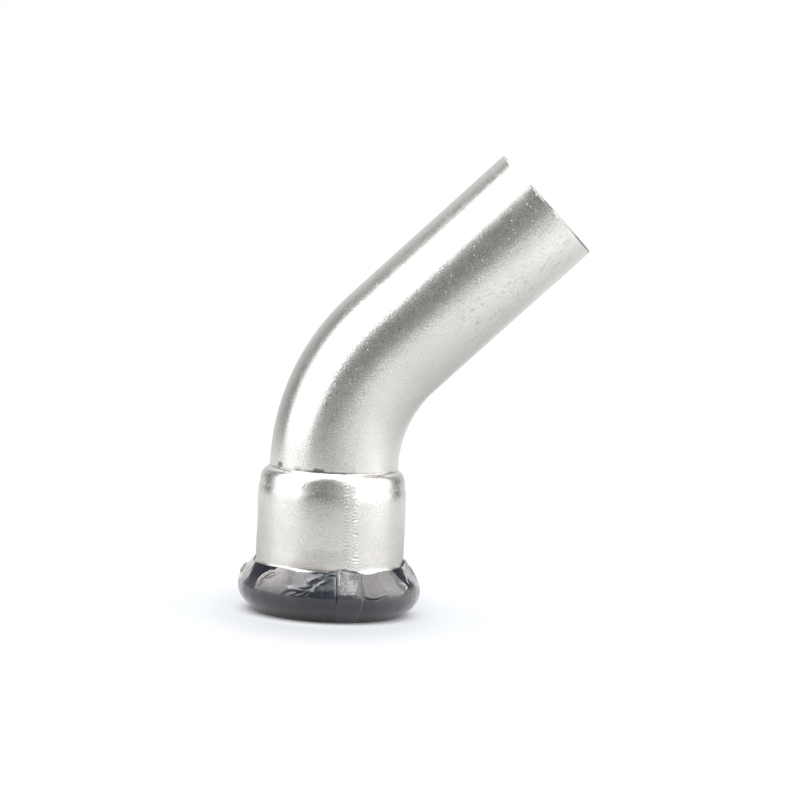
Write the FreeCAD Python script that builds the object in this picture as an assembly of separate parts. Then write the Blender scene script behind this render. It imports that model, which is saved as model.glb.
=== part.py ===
import FreeCAD, Part
import math
import os

# A forty-five degree press elbow in stainless tube, in millimetres.
# The body is one bent tube with a press socket formed on its lower end: a
# rounded shoulder, a straight socket wall, and a hollow bead that holds the
# sealing ring. A strip of shrunk film lies round the outside of the bead.
# The origin is the centre of the socket's mouth. The socket's axis is Z, and
# the tube leans towards +X in the XZ plane. The front of the film faces -Y.

# Tube and bend
tube_radius = 11.0          # outside of the tube, and of the pipe the socket takes
tube_wall = 1.5
bend_angle = 45.0           # degrees
bend_radius = 30.0          # at the tube's centreline
neck_length = 0.4           # straight tube between the socket and the bend
plain_leg = 35.6            # straight tube after the bend
end_chamfer = 0.25          # outer edge of the cut end
end_deburr = 0.2            # inner edge of the cut end

# Press socket
pipe_play = 0.2             # radial play of the pipe in the socket
socket_depth = 20.7         # from the mouth to the start of the shoulder
shoulder_radius = 6.3       # outside of the rounded shoulder
crease_radius = 0.4         # where the shoulder meets the tube
lip_width = 1.2             # flat end face, from the bore outwards
lip_land = 1.2              # height of the guiding land inside the lip
lip_round = 0.25            # edge between the end face and the land

# Sealing ring and the bead round it
ring_play = 0.1             # radial play of the pipe in the ring
ring_section = 3.0          # thickness of the ring
ring_seat_gap = 0.05        # between the ring and the bead's inner wall
bead_height = 4.3           # from the mouth to the middle of the bead
bead_wall = 1.3             # the wall is thinned where the bead is formed
bead_lower_radius = 3.6     # outside, on the mouth's side
bead_upper_radius = 3.0     # outside, on the tube's side, up to a straight slope
bead_top = 8.95             # from the mouth to where the bead meets the socket wall
bead_fillet = 0.5           # between its slope and the wall

# Film: one strip that goes round the bead and laps over its own start
film_thickness = 0.12
film_gap = 0.06             # between the film and the bead
film_rim_lift = 0.12        # the rim stands this much further off the metal
film_hem = 0.5              # bare strip between the film and the end face
lap_gap = 0.06              # between the two layers of the lap
lap_start = 8.0             # degrees from the front towards +X
lap_angle = 16.0
lap_ramp = 22.0             # the strip climbs onto its start over this angle
# Height of the film's upper rim above the mouth, every 15 degrees from the
# front towards +X. It is highest at the two folds of the flat strip, at the
# sides, and slightly wavy in between.
film_rim_heights = [8.75, 9.10, 8.50, 8.65, 8.75, 9.20, 9.60, 9.20,
                    8.75, 8.60, 8.85, 8.70, 8.50, 8.70, 8.90, 8.60,
                    8.70, 8.95, 9.20, 9.00, 8.90, 8.83, 8.60, 8.42]
film_columns = 52           # points that guide the strip's surface, along it
film_step = 0.65            # and about this far apart across it

# Worked out from the sizes above
bore_radius = tube_radius + pipe_play
socket_radius = bore_radius + tube_wall
tube_bore_radius = tube_radius - tube_wall
ring_bore_radius = tube_radius + ring_play
chamber_radius = ring_bore_radius + ring_section + ring_seat_gap
bead_radius = chamber_radius + bead_wall

z_axis = FreeCAD.Vector(0, 0, 1)
y_axis = FreeCAD.Vector(0, 1, 0)
origin = FreeCAD.Vector(0, 0, 0)


def at(radius, height):
    """A point of the section in the XZ plane."""
    return FreeCAD.Vector(radius, 0, height)


def line(start, end):
    return Part.LineSegment(start, end).toShape()


def arc(centre, start, end):
    """The shorter arc about a centre, from one point to another."""
    middle = (start + end) * 0.5 - centre
    middle.normalize()
    middle = centre + middle * start.distanceToPoint(centre)
    return Part.Arc(start, middle, end).toShape()


def fillet_centre(wall_radius, fillet_radius, centre, radius):
    """Centre of the fillet between an arc and the straight wall above it."""
    offset = wall_radius + fillet_radius - centre.x
    rise = math.sqrt((radius + fillet_radius) ** 2 - offset ** 2)
    return at(centre.x + offset, centre.z + rise)


def crossing_tangent(first, first_radius, second, second_radius):
    """Ends of the line that runs off one arc's outer side and onto the next arc."""
    step = second - first
    half_angle = math.acos((first_radius + second_radius) / step.Length)
    angle = math.atan2(step.z, step.x) - half_angle
    normal = at(math.cos(angle), math.sin(angle))
    return first + normal * first_radius, second - normal * second_radius


def towards(start, end, distance):
    """The point that lies a distance from start on the way to end."""
    step = end - start
    step.normalize()
    return start + step * distance


def tangent_point(start, centre, radius):
    """Where a line from start touches the lower outer side of an arc."""
    reach = start.distanceToPoint(centre)
    half_angle = math.asin(radius / reach)
    angle = math.atan2(centre.z - start.z, centre.x - start.x) - half_angle
    length = math.sqrt(reach ** 2 - radius ** 2)
    return start + at(math.cos(angle), math.sin(angle)) * length


# Centres of the arcs, shared by the outside and the inside of the wall
shoulder_centre = at(socket_radius - shoulder_radius, socket_depth)
crease_centre = fillet_centre(tube_radius, crease_radius, shoulder_centre, shoulder_radius)
lower_centre = at(bead_radius - bead_lower_radius, bead_height)
upper_centre = at(bead_radius - bead_upper_radius, bead_height)
blend_centre = at(socket_radius + bead_fillet, bead_top)
slope_low, slope_high = crossing_tangent(upper_centre, bead_upper_radius, blend_centre, bead_fillet)
bead_side = at(bead_radius, bead_height)
lip_corner = at(bore_radius + lip_width, 0)
flank_top = tangent_point(lip_corner, lower_centre, bead_lower_radius)
bend_start = crease_centre.z + neck_length

# How many steps the film's points take across each stretch of the bead
flank_count = math.ceil(flank_top.distanceToPoint(lip_corner) / film_step)
lower_count = math.ceil(flank_top.distanceToPoint(bead_side) / film_step)
upper_count = math.ceil(slope_low.distanceToPoint(bead_side) / film_step)
slope_count = math.ceil(slope_low.distanceToPoint(slope_high) / film_step)


def outer_edges():
    """Outside of the formed end, from the end face up to the bend."""
    blend_high = at(socket_radius, bead_top)
    shoulder_low = at(socket_radius, socket_depth)
    shoulder_high = towards(shoulder_centre, crease_centre, shoulder_radius)
    crease_high = at(tube_radius, crease_centre.z)
    return [
        line(at(bore_radius + lip_round, 0), lip_corner),
        line(lip_corner, flank_top),
        arc(lower_centre, flank_top, bead_side),
        arc(upper_centre, bead_side, slope_low),
        line(slope_low, slope_high),
        arc(blend_centre, slope_high, blend_high),
        line(blend_high, shoulder_low),
        arc(shoulder_centre, shoulder_low, shoulder_high),
        arc(crease_centre, shoulder_high, crease_high),
        line(crease_high, at(tube_radius, bend_start)),
    ]


def inner_edges():
    """Inside of the formed end, from the bend down to the end face."""
    inner_crease = crease_radius + tube_wall
    inner_shoulder = shoulder_radius - tube_wall
    inner_fillet = bead_fillet + tube_wall
    chamber_upper = bead_upper_radius - bead_wall
    chamber_lower = bead_lower_radius - bead_wall
    inner_low, inner_high = crossing_tangent(upper_centre, chamber_upper, blend_centre, inner_fillet)
    crease_high = at(tube_bore_radius, crease_centre.z)
    shoulder_high = towards(shoulder_centre, crease_centre, inner_shoulder)
    shoulder_low = at(bore_radius, socket_depth)
    blend_high = at(bore_radius, bead_top)
    chamber_side = at(chamber_radius, bead_height)
    land_top = at(bore_radius, lip_land)
    inner_flank = tangent_point(land_top, lower_centre, chamber_lower)
    round_centre = at(bore_radius + lip_round, lip_round)
    land_low = at(bore_radius, lip_round)
    face_start = at(bore_radius + lip_round, 0)
    return [
        line(at(tube_bore_radius, bend_start), crease_high),
        arc(crease_centre, crease_high, towards(crease_centre, shoulder_centre, inner_crease)),
        arc(shoulder_centre, shoulder_high, shoulder_low),
        line(shoulder_low, blend_high),
        arc(blend_centre, blend_high, inner_high),
        line(inner_high, inner_low),
        arc(upper_centre, inner_low, chamber_side),
        arc(lower_centre, chamber_side, inner_flank),
        line(inner_flank, land_top),
        line(land_top, land_low),
        arc(round_centre, land_low, face_start),
    ]


def formed_socket():
    """Mouth, bead, socket wall, shoulder and neck, turned about the Z axis."""
    across = line(at(tube_radius, bend_start), at(tube_bore_radius, bend_start))
    section = Part.Wire(outer_edges() + [across] + inner_edges())
    return Part.Face(section).revolve(origin, z_axis, 360)


def bent_tube():
    """The bend: a ring of wall swept about the bend's own axis."""
    centre = at(0, bend_start)
    outside = Part.Wire(Part.makeCircle(tube_radius, centre))
    inside = Part.Wire(Part.makeCircle(tube_bore_radius, centre))
    ring = Part.Face([outside, inside])
    return ring.revolve(at(bend_radius, bend_start), y_axis, bend_angle)


def plain_end():
    """The straight leg, with its outer edge chamfered and its bore deburred."""
    corners = [
        at(tube_bore_radius, 0),
        at(tube_radius, 0),
        at(tube_radius, plain_leg - end_chamfer),
        at(tube_radius - end_chamfer, plain_leg),
        at(tube_bore_radius + end_deburr, plain_leg),
        at(tube_bore_radius, plain_leg - end_deburr),
    ]
    section = Part.makePolygon(corners + corners[:1])
    leg = Part.Face(section).revolve(origin, z_axis, 360)
    leg.translate(at(0, bend_start))
    leg.rotate(at(bend_radius, bend_start), y_axis, bend_angle)
    return leg


def make_body():
    """The socket, the bend and the straight leg are one piece of metal."""
    body = formed_socket().fuse([bent_tube(), plain_end()])
    return body.removeSplitter().Solids[0]


def make_ring():
    ring = Part.makeTorus(ring_bore_radius + ring_section / 2, ring_section / 2)
    ring.translate(at(0, bead_height))
    return ring


def steel_radius(height):
    """Outside radius of the body at a height between the bead's slope and the shoulder."""
    if height < slope_high.z:
        share = (height - slope_low.z) / (slope_high.z - slope_low.z)
        return slope_low.x + (slope_high.x - slope_low.x) * share
    if height < bead_top:
        rise = bead_top - height
        return blend_centre.x - math.sqrt(bead_fillet ** 2 - rise ** 2)
    return socket_radius


def rim_height(azimuth):
    """Smooth height of the film's rim, through the listed heights."""
    count = len(film_rim_heights)
    place = azimuth / 360 * count
    first = math.floor(place)
    share = place - first
    before, low, high, after = [
        film_rim_heights[(first + index) % count] for index in (-1, 0, 1, 2)
    ]
    slope = (high - before) / 2
    next_slope = (after - low) / 2
    turn = 3 * (high - low) - 2 * slope - next_slope
    close = slope + next_slope - 2 * (high - low)
    return low + share * (slope + share * (turn + share * close))


def line_points(start, end, count):
    """Evenly spaced points on a line, without its last one."""
    return [start + (end - start) * (index / count) for index in range(count)]


def arc_points(centre, start, end, count):
    """Evenly spaced points on the shorter arc, without its last one."""
    radius = start.distanceToPoint(centre)
    first = math.atan2(start.z - centre.z, start.x - centre.x)
    last = math.atan2(end.z - centre.z, end.x - centre.x)
    angles = [first + (last - first) * index / count for index in range(count)]
    return [centre + at(math.cos(angle), math.sin(angle)) * radius for angle in angles]


def film_line(azimuth, near, far):
    """Points across the film, from its hem to its rim, on the layer at far."""
    flank = flank_top - lip_corner
    flank.normalize()
    normal = at(flank.z, -flank.x)
    hem = lip_corner + flank * film_hem + normal * far
    flank_end = flank_top + normal * far
    side = at(bead_radius + far, bead_height)
    rim = rim_height(azimuth)
    rim_near = at(steel_radius(rim) + film_rim_lift + near, rim)
    reach = rim_near.distanceToPoint(upper_centre)
    half_angle = math.acos((bead_upper_radius + near) / reach)
    angle = math.atan2(rim_near.z - upper_centre.z, rim_near.x - upper_centre.x) - half_angle
    roof_normal = at(math.cos(angle), math.sin(angle))
    roof_low = upper_centre + roof_normal * (bead_upper_radius + far)
    rim_end = rim_near + roof_normal * (far - near)
    points = line_points(hem, flank_end, flank_count)
    points += arc_points(lower_centre, flank_end, side, lower_count)
    points += arc_points(upper_centre, side, roof_low, upper_count)
    points += line_points(roof_low, rim_end, slope_count)
    points.append(rim_end)
    turn = FreeCAD.Rotation(z_axis, azimuth - 90)
    return [turn.multVec(point) for point in points]


def lap_offset(azimuth):
    """How far the strip has climbed where it comes back over its start."""
    share = (azimuth - (lap_start + 360 - lap_ramp)) / lap_ramp
    share = max(0, min(1, share))
    return (film_thickness + lap_gap) * share ** 2 * (3 - 2 * share)


def make_film():
    """The strip: an inner and an outer skin, closed along all four edges."""
    skins = []
    for depth in (0, film_thickness):
        grid = []
        for column in range(film_columns + 1):
            azimuth = lap_start + (360 + lap_angle) * column / film_columns
            near = film_gap + lap_offset(azimuth)
            grid.append(film_line(azimuth, near, near + depth))
        skin = Part.BSplineSurface()
        skin.interpolate(grid)
        skins.append(skin.toShape())
    edges = zip(skins[0].Edges, skins[1].Edges)
    sides = [Part.makeRuledSurface(inner, outer) for inner, outer in edges]
    shell = Part.Shell(skins + sides)
    shell.sewShape()
    return Part.Solid(Part.Shell(shell.Faces))


body = make_body()
ring = make_ring()
film = make_film()

os.makedirs("parts", exist_ok=True)
body.exportStep("parts/elbow_body.step")
ring.exportStep("parts/sealing_ring.step")
film.exportStep("parts/indicator_film.step")
for name, shape in (("body", body), ("ring", ring), ("film", film)):
    print(name, shape.isValid(), len(shape.Solids), round(shape.Volume, 2), shape.BoundBox)
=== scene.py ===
import bpy
import math
import numpy as np
from mathutils import Matrix, Vector, noise


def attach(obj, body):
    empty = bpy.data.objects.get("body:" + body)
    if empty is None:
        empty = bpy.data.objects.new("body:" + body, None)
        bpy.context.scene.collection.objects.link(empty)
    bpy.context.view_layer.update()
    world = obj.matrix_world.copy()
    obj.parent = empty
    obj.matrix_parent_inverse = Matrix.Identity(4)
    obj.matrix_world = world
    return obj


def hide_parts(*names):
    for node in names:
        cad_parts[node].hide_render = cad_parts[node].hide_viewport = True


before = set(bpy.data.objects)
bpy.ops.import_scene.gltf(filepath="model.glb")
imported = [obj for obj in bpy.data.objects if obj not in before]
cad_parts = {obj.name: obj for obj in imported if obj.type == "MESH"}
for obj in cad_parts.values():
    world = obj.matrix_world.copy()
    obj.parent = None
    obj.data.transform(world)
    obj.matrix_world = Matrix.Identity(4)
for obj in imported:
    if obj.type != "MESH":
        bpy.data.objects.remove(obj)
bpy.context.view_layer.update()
mm = 0.001
mapScale = 100.0                            # mm in one unit of the pieces' maps
print("frame loaded:", ", ".join(sorted(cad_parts)))


def bow(centre, radius, start, end, step):
    # points on an arc of a section (radius, height), angles in degrees
    count = max(2, math.ceil(abs(math.radians(end - start)) * radius / step))
    angles = np.radians(np.linspace(start, end, count + 1))
    return [(centre[0] + radius * math.cos(a), centre[1] + radius * math.sin(a)) for a in angles]


def run(start, end, step):
    # points on a straight stretch of a section
    count = max(1, math.ceil(math.dist(start, end) / step))
    shares = np.linspace(0, 1, count + 1)
    return [(start[0] + (end[0] - start[0]) * t, start[1] + (end[1] - start[1]) * t) for t in shares]


def join(*stretches):
    # one row of section points, without the doubled ends
    points = [stretches[0][0]]
    for stretch in stretches:
        points += [point for point in stretch if math.dist(point, points[-1]) > 1e-6]
    return np.array(points)


def ease(value, low, high):
    share = np.clip((value - low) / (high - low), 0, 1)
    return share * share * (3 - 2 * share)


def hump(value, comes, goes):
    # 1 between two pairs of values, easing to 0 before the first and past the second
    return ease(value, *comes) * (1 - ease(value, *goes))


def lumps(points, size, seed):
    # smooth noise between -1 and 1 at each point, size in mm
    flat = points.reshape(-1, 3) / size + seed
    return np.array([noise.noise(p) for p in flat.tolist()]).reshape(points.shape[:-1])


def closedSkin(name, points, across, along, mapName):
    # points in mm, rows x columns, closed both ways
    # across and along are the map's values at the corners, in mm
    rows, columns = points.shape[:2]
    r, c = np.meshgrid(np.arange(rows), np.arange(columns), indexing="ij")
    nextRow, nextColumn = (r + 1) % rows, (c + 1) % columns
    corners = np.stack([r * columns + c, r * columns + nextColumn,
                        nextRow * columns + nextColumn, nextRow * columns + c], -1).reshape(-1, 4)
    mesh = bpy.data.meshes.new(name)
    mesh.vertices.add(rows * columns)
    mesh.vertices.foreach_set("co", (points.reshape(-1) * mm).astype(np.float32))
    mesh.loops.add(corners.size)
    mesh.loops.foreach_set("vertex_index", corners.reshape(-1).astype(np.int32))
    mesh.polygons.add(len(corners))
    mesh.polygons.foreach_set("loop_start", np.arange(0, corners.size, 4, dtype=np.int32))
    mesh.polygons.foreach_set("loop_total", np.full(len(corners), 4, np.int32))
    mesh.polygons.foreach_set("use_smooth", np.ones(len(corners), bool))
    mesh.update(calc_edges=True)
    u = np.stack([across[:, :-1], across[:, 1:], across[:, 1:], across[:, :-1]], -1)
    v = np.stack([along[:-1], along[:-1], along[1:], along[1:]], -1)
    v = np.repeat(v[:, None, :], columns, axis=1)
    uv = mesh.uv_layers.new(name=mapName)
    uv.data.foreach_set("uv", np.stack([u, v], -1).reshape(-1).astype(np.float32) / mapScale)
    piece = bpy.data.objects.new(name, mesh)
    bpy.context.scene.collection.objects.link(piece)
    return piece


def paint(piece, name, values):
    # a value for each vertex, which the finish reads by its name
    layer = piece.data.attributes.new(name, "FLOAT", "POINT")
    layer.data.foreach_set("value", values.reshape(-1).astype(np.float32))


class Wire:
    # a node's output, with which sums can be written
    def __init__(self, finish, socket):
        self.finish = finish
        self.socket = socket

    def sum(self, operation, first, second):
        return self.finish.node("ShaderNodeMath", {"operation": operation}, {0: first, 1: second})

    def __add__(self, other):
        return self.sum("ADD", self, other)

    def __radd__(self, other):
        return self.sum("ADD", other, self)

    def __sub__(self, other):
        return self.sum("SUBTRACT", self, other)

    def __rsub__(self, other):
        return self.sum("SUBTRACT", other, self)

    def __mul__(self, other):
        return self.sum("MULTIPLY", self, other)

    def __rmul__(self, other):
        return self.sum("MULTIPLY", other, self)

    def also(self, output):
        # another output of the same node
        return Wire(self.finish, self.socket.node.outputs[output])


class Finish:
    # the node tree of one material, or of the world
    def __init__(self, owner):
        owner.use_nodes = True
        self.tree = owner.node_tree
        self.tree.nodes.clear()

    def node(self, kind, settings=None, sockets=None, out=0):
        made = self.tree.nodes.new(kind)
        for key, value in (settings or {}).items():
            setattr(made, key, value)
        for key, value in (sockets or {}).items():
            if isinstance(value, Wire):
                self.tree.links.new(value.socket, made.inputs[key])
            else:
                made.inputs[key].default_value = value
        return Wire(self, made.outputs[out]) if len(made.outputs) else None

    def ease(self, value, low, high, start=0.0, end=1.0):
        return self.node("ShaderNodeMapRange", {"interpolation_type": "SMOOTHSTEP"},
                         {0: value, 1: low, 2: high, 3: start, 4: end})

    def band(self, value, middle, half, soft):
        # 1 within half of the middle, then falling to 0
        low = self.ease(value, middle - half - soft, middle - half)
        return low * self.ease(value, middle + half, middle + half + soft, 1.0, 0.0)

    def tint(self, mask, first, second):
        # first where the mask is 0, second where it is 1
        return self.node("ShaderNodeMix", {"data_type": "RGBA"}, {0: mask, 6: first, 7: second}, out=2)

    def grain(self, place, size, detail=2.0, roughness=0.5):
        # noise whose lumps are about size mm wide
        sockets = {"Vector": place, "Scale": 1 / (size * mm), "Detail": detail, "Roughness": roughness}
        return self.node("ShaderNodeTexNoise", {}, sockets)

    def relief(self, height, depth, under=None):
        sockets = {"Height": height, "Distance": depth * mm, "Strength": 1.0}
        if under:
            sockets["Normal"] = under
        return self.node("ShaderNodeBump", {}, sockets)

    def read(self, name):
        return self.node("ShaderNodeAttribute", {"attribute_name": name}, out=2)


def newMaterial(name):
    material = bpy.data.materials.new(name)
    return material, Finish(material)


# camera at the photograph's angle
cameraSet = {
    "aim": (10.72, 0.0, 37.14),     # mm
    "distance": 500.0,
    "azimuth": 1.0,                 # degrees, from the front towards +X
    "elevation": 4.81,
    "roll": 2.97,
    "focal": 2920.3,                # pixels
    "frame": 800,
    "sensor": 36.0,
    "clip": (0.01, 20),             # m
}


def makeCamera(size):
    azimuth, elevation, roll = (math.radians(size[key]) for key in ("azimuth", "elevation", "roll"))
    back = Vector((math.sin(azimuth) * math.cos(elevation),
                   -math.cos(azimuth) * math.cos(elevation), math.sin(elevation)))
    side = (-back).cross(Vector((0, 0, 1))).normalized()
    up = side.cross(-back)
    right = math.cos(roll) * side + math.sin(roll) * up
    top = math.cos(roll) * up - math.sin(roll) * side
    data = bpy.data.cameras.new("camera")
    data.sensor_width = size["sensor"]
    data.lens = size["focal"] / size["frame"] * size["sensor"]
    data.clip_start, data.clip_end = size["clip"]
    camera = bpy.data.objects.new("camera", data)
    bpy.context.scene.collection.objects.link(camera)
    turn = Matrix((right, top, back)).transposed().to_4x4()
    spot = (Vector(size["aim"]) + back * size["distance"]) * mm
    camera.matrix_world = Matrix.Translation(spot) @ turn
    bpy.context.scene.camera = camera


makeCamera(cameraSet)
print("camera set")

# the bent body, in mm
bodySize = {
    "tubeRadius": 11.0,
    "wall": 1.5,
    "boreRadius": 11.2,
    "socketDepth": 20.7,
    "shoulderRadius": 6.3,
    "creaseRadius": 0.4,
    "lipRadius": 12.4,
    "lipRound": 0.25,
    "landHeight": 1.2,
    "beadHeight": 4.3,
    "beadRadius": 15.45,
    "beadWall": 1.3,
    "beadLower": 3.6,
    "beadUpper": 3.0,
    "beadTop": 8.95,
    "beadFillet": 0.5,
    "neck": 0.4,
    "bendRadius": 30.0,
    "bendAngle": 45.0,
    "leg": 35.6,
    "chamfer": 0.25,
    "deburr": 0.2,
    # how much the shoulder's curve is eased; then how far below and above the socket's top,
    # and over what lengths that comes in and goes out
    "shoulderEase": 0.8,
    "shoulderSpan": (5.0, 3.4, 2.0, 3.2),
    "flareEase": (0.16, 0.42),              # the same above the bead, left and right
    "flareSpan": (0.9, 2.2, 0.4, 1.4),
    "flareRight": ((24, 36), (62, 76)),     # degrees over which the right side comes and goes
    # where the formed end is fuller or sunk: by how much, and where along the body that comes and goes
    "leftSwell": (0.2, (16, 20), (23.2, 24.9)),
    "leftSide": ((20, 90), (90, 170)),      # degrees to the left
    "topSwell": (0.30, (21.6, 24.3), (24.35, 25.0)),
    "wallSink": (0.16, (16.0, 22.0), (22.6, 24.8)),
    "footSwell": (0.09, (8.3, 9.0), (9.2, 12.6)),
    "footFront": (0.2, 0.6),                # cosines of the angle from the front
    "uneven": ((0.014, 7.0, 1.0), (0.006, 2.6, 2.0)),   # height, size and seed of the lumps
    "trueMouth": (0.4, 2.0),                # heights over which all this comes in
    "trueEnd": (0.5, 0.2),                  # and distances from the cut end over which it goes out
    # steps between the rows
    "rowStep": 0.2,
    "seamRowStep": 0.14,                    # for the weld's ripples on the socket
    "filletStep": 0.06,
    "slopeStep": 0.15,
    "chamferStep": 0.12,
    "faceStep": 0.25,
    "roundStep": 0.1,
    "hiddenStep": 0.6,
    "boreStep": 1.2,
    # steps between the columns, in degrees
    "columnStep": 4.0,
    "weldColumnStep": 0.6,
    "weldColumns": (3.0, 36.0),             # where they are close together
    "insideAcross": 50.0,                   # what the map says inside, where there is no weld
}

# the weld's seam, in mm
weldSeam = {
    # distance along the body, and degrees from the front
    "path": ((0, 19.0), (12, 18.5), (20, 16.2), (27, 15.2), (45, 14.6),
             (53, 14.5), (66, 17.0), (76, 21.5), (90, 25.0)),
    "halfWidth": 1.75,
    "crownHalf": 0.9625,                    # up to where the crown is full
    "crown": 0.0088,
    "ripple": 0.029,
    "pitch": 0.58,
    "bowing": 0.45,
    "columnGap": 1.45,
    "columnWidth": 0.62,
    "wander": (0.6, 0.9, 9.0),              # by how much the ripples wander, lump size and seed
    "worn": 0.5,                            # what is left of them where they are worn most
    "wearLumps": (1.6, 4.0),                # lump size and seed
    "wearEase": (-0.25, 0.3),
    "above": (0.45, 2.0),                   # what is left above the socket, and over what length it fades
}


def crossing(first, firstRadius, second, secondRadius):
    # the ends of the line that runs off one arc's outer side and onto the next arc
    across, rise = second[0] - first[0], second[1] - first[1]
    angle = math.atan2(rise, across) - math.acos((firstRadius + secondRadius) / math.hypot(across, rise))
    way = (math.cos(angle), math.sin(angle))
    start = (first[0] + way[0] * firstRadius, first[1] + way[1] * firstRadius)
    end = (second[0] - way[0] * secondRadius, second[1] - way[1] * secondRadius)
    return start, end, math.degrees(angle)


def touching(start, centre, radius):
    # the way, in degrees, of the line from start that touches an arc's outer side
    rise = math.atan2(centre[1] - start[1], centre[0] - start[0])
    return math.degrees(rise - math.asin(radius / math.dist(start, centre)))


def socketOutside(size, lower, upper, blend, shoulder, top, topAngle):
    # from the mouth up to the neck
    tube, outer = size["tubeRadius"], size["boreRadius"] + size["wall"]
    fillet, seam, hidden = size["beadFillet"], size["seamRowStep"], size["hiddenStep"]
    slopeLow, slopeHigh, slope = crossing(upper, size["beadUpper"], blend, fillet)
    lip = (size["lipRadius"], 0)
    flank = touching(lip, lower, size["beadLower"]) - 90
    return join(
        run((size["boreRadius"] + size["lipRound"], 0), lip, hidden),
        bow(lower, size["beadLower"], flank, 0, hidden),
        bow(upper, size["beadUpper"], 0, slope, hidden),
        run(slopeLow, slopeHigh, size["slopeStep"]),
        bow(blend, fillet, slope + 180, 180, size["filletStep"]),
        run((outer, blend[1]), (outer, size["socketDepth"]), seam),
        bow(shoulder, size["shoulderRadius"], 0, topAngle, seam),
        bow(top, size["creaseRadius"], topAngle + 180, 180, size["filletStep"]),
        run((tube, top[1]), (tube, top[1] + size["neck"]), size["rowStep"]),
    )


def socketInside(size, lower, upper, blend, shoulder, top, topAngle):
    # from the neck down to the mouth, with the bead's chamber
    wall, bore, socket = size["wall"], size["tubeRadius"] - size["wall"], size["boreRadius"]
    fillet, hidden, lipRound = size["beadFillet"] + wall, size["hiddenStep"], size["lipRound"]
    upperRadius, lowerRadius = size["beadUpper"] - size["beadWall"], size["beadLower"] - size["beadWall"]
    slopeLow, slopeHigh, slope = crossing(upper, upperRadius, blend, fillet)
    land = (socket, size["landHeight"])
    flank = touching(land, lower, lowerRadius) - 90
    return join(
        run((bore, top[1] + size["neck"]), (bore, top[1]), size["rowStep"]),
        bow(top, size["creaseRadius"] + wall, 180, 180 + topAngle, hidden),
        bow(shoulder, size["shoulderRadius"] - wall, topAngle, 0, hidden),
        run((socket, size["socketDepth"]), (socket, blend[1]), size["boreStep"]),
        bow(blend, fillet, 180, slope + 180, hidden),
        run(slopeHigh, slopeLow, hidden),
        bow(upper, upperRadius, slope, 0, hidden),
        bow(lower, lowerRadius, 0, flank, hidden),
        run(land, (socket, lipRound), hidden),
        bow((socket + lipRound, lipRound), lipRound, 180, 270, size["roundStep"]),
    )


def socketSections(size):
    # outside and inside of the formed end
    outer, crease = size["boreRadius"] + size["wall"], size["creaseRadius"]
    lower = (size["beadRadius"] - size["beadLower"], size["beadHeight"])
    upper = (size["beadRadius"] - size["beadUpper"], size["beadHeight"])
    blend = (outer + size["beadFillet"], size["beadTop"])
    shoulder = (outer - size["shoulderRadius"], size["socketDepth"])
    # the crease is a fillet between the shoulder and the tube
    offset = size["tubeRadius"] + crease - shoulder[0]
    rise = math.sqrt((size["shoulderRadius"] + crease) ** 2 - offset ** 2)
    top, topAngle = (shoulder[0] + offset, shoulder[1] + rise), math.degrees(math.atan2(rise, offset))
    arcs = (lower, upper, blend, shoulder, top, topAngle)
    return socketOutside(size, *arcs), socketInside(size, *arcs)[:-1]


def softened(section, height, reach, below, above, rise, fall):
    # a section with its curve eased about a height, coming in over rise and going out over fall
    low, high = height - below, height + above
    leastReach = 0.05               # mm, under which a point stays where it is
    steps = np.append(0, np.cumsum(np.hypot(*np.diff(section, axis=0).T)))
    result = section.copy()
    for index in np.flatnonzero((section[:, 1] > low) & (section[:, 1] < high)):
        local = reach * hump(section[index, 1], (low, low + rise), (high - fall, high))
        if local > leastReach:
            weight = np.exp(-0.5 * ((steps - steps[index]) / local) ** 2) * np.gradient(steps)
            result[index] = weight @ section / weight.sum()
    return result


def bodySection(size):
    # rows (radius, distance along the body), up outside, over the cut end and down inside,
    # with what the right side's flare adds, and the distances of the bend's start and the cut end
    outside, inside = socketSections(size)
    outside = softened(outside, size["socketDepth"], size["shoulderEase"], *size["shoulderSpan"])
    narrow, wide = (softened(outside, size["beadTop"], reach, *size["flareSpan"])
                    for reach in size["flareEase"])
    bendStart = narrow[-1][1]
    end = bendStart + math.radians(size["bendAngle"]) * size["bendRadius"] + size["leg"]
    tube, bore = size["tubeRadius"], size["tubeRadius"] - size["wall"]
    chamfer, deburr = size["chamfer"], size["deburr"]
    rows = join(
        narrow,
        run((tube, bendStart), (tube, end - chamfer), size["rowStep"]),
        run((tube, end - chamfer), (tube - chamfer, end), size["chamferStep"]),
        run((tube - chamfer, end), (bore + deburr, end), size["faceStep"]),
        run((bore + deburr, end), (bore, end - deburr), size["roundStep"]),
        run((bore, end - deburr), (bore, bendStart), size["boreStep"]),
        inside,
    )
    flare = np.zeros(rows.shape)
    flare[:len(narrow)] = wide - narrow
    return rows, flare, bendStart, end


def alongBody(size, radius, along, angle, bendStart):
    # a point of the body from its radius, its distance along the centreline and its angle round it
    bend = math.radians(size["bendAngle"])
    turned = np.clip((along - bendStart) / size["bendRadius"], 0, bend)
    straight = np.maximum(along - bendStart - bend * size["bendRadius"], 0)
    centreX = size["bendRadius"] * (1 - np.cos(turned)) + straight * np.sin(turned)
    centreZ = np.minimum(along, bendStart) + size["bendRadius"] * np.sin(turned) + straight * np.cos(turned)
    reach, front = radius * np.sin(np.radians(angle)), radius * np.cos(np.radians(angle))
    return np.stack([centreX + reach * np.cos(turned), -front, centreZ - reach * np.sin(turned)], -1)


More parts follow.
